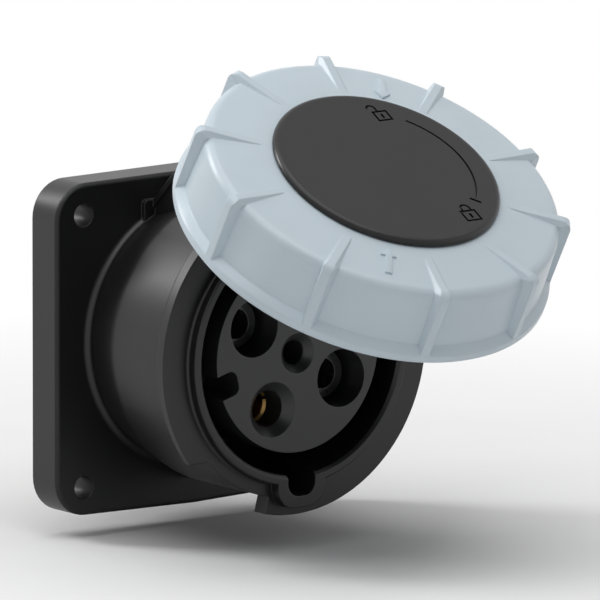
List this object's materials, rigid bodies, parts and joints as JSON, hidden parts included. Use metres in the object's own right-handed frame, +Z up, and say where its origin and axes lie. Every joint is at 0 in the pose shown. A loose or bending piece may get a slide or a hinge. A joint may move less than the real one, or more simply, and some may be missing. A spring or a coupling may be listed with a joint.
{
  "type": "industrial panel socket",
  "caption": "Round industrial power socket outlet on a square panel flange, with round contact sleeves and a hinged lid that a ribbed bayonet ring locks.",
  "frame": {"origin": "centre of the four fixing holes, in the plane of the flange's back", "axes": "+Z up with the keyway at the bottom; the plug enters along +Y and leaves along -Y; +X is to the right seen from the front"},
  "size_m": [0.116, 0.1757, 0.1402],
  "materials": {
    "black_plastic": "satin black glass-filled polyamide",
    "insert_plastic": "satin black",
    "pale_plastic": "satin light blue-grey",
    "black_rubber": "matt",
    "brass": "turned",
    "steel": "zinc plated"
  },
  "bodies": {
    "socket": {"housing": "black_plastic", "panel_gasket": "black_rubber", "base_ring": "insert_plastic", "retaining_plate": "insert_plastic", "insert_base": "insert_plastic", "contact_insert": "insert_plastic", "guide_sleeves": "insert_plastic", "insert_screws": "steel", "insert_seal": "black_rubber", "contact_l1": "brass", "contact_l2": "brass", "contact_l3": "brass", "contact_earth": "brass", "contact_pilot": "brass", "contact_springs": "steel", "terminal_carrier": "insert_plastic", "carrier_screws": "steel", "terminal_screws": "steel", "hinge_pin": "steel"},
    "lid": {"lid_plate": "black_plastic", "lid_seal": "black_rubber", "lid_cap": "black_plastic", "lid_screws": "steel", "ring_washer": "steel"},
    "ring": {"bayonet_ring": "pale_plastic"}
  },
  "joints": [
    {"name": "lid_hinge", "type": "hinge", "parent": "socket", "child": "lid", "pos_m": [0, -0.0375, 0.0606], "axis": [-1, 0, 0], "range_deg": [-60, 50]},
    {"name": "ring_turn", "type": "hinge", "parent": "lid", "child": "ring", "pos_m": [0, -0.09315, 0.04059], "axis": [0, 0.5, -0.866], "range_deg": [0, 120]}
  ]
}
